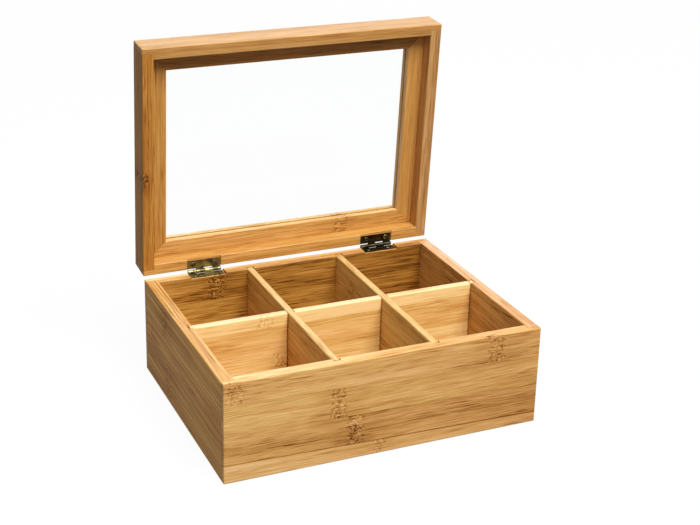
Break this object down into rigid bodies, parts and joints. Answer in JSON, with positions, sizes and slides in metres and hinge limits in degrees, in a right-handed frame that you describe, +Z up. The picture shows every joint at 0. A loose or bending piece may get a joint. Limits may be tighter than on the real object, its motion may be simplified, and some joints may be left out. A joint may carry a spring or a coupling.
{
  "type": "tea bag organizer box",
  "caption": "Bamboo tea bag organizer box with divided compartments and a hinged lid whose mitred frame holds a clear window, shown with the lid open.",
  "frame": {"origin": "middle of the box's underside, on the surface that it stands on", "axes": "+X to the right seen from the front, +Y to the back where the hinges are, +Z up"},
  "size_m": [0.217, 0.1859, 0.2343],
  "materials": {
    "bamboo": "satin",
    "hinge_brass": "satin",
    "screw_brass": "satin",
    "clear_pane": "gloss"
  },
  "bodies": {
    "box": {"front_panel": "bamboo", "back_panel": "bamboo", "left_side_panel": "bamboo", "right_side_panel": "bamboo", "bottom_panel": "bamboo", "left_divider": "bamboo", "right_divider": "bamboo", "cross_divider": "bamboo", "left_hinge_box_leaf": "hinge_brass", "right_hinge_box_leaf": "hinge_brass", "left_hinge_pin": "screw_brass", "right_hinge_pin": "screw_brass", "left_hinge_box_screws": "screw_brass", "right_hinge_box_screws": "screw_brass"},
    "lid": {"lid_front_rail": "bamboo", "lid_back_rail": "bamboo", "lid_left_rail": "bamboo", "lid_right_rail": "bamboo", "window_front_bar": "bamboo", "window_back_bar": "bamboo", "window_left_bar": "bamboo", "window_right_bar": "bamboo", "window_pane": "clear_pane", "left_hinge_lid_leaf": "hinge_brass", "right_hinge_lid_leaf": "hinge_brass", "left_hinge_lid_screws": "screw_brass", "right_hinge_lid_screws": "screw_brass"}
  },
  "joints": [
    {"name": "lid_hinge", "type": "hinge", "parent": "box", "child": "lid", "pos_m": [0, 0.0835, 0.0678], "axis": [1, 0, 0], "range_deg": [0, 86]}
  ]
}
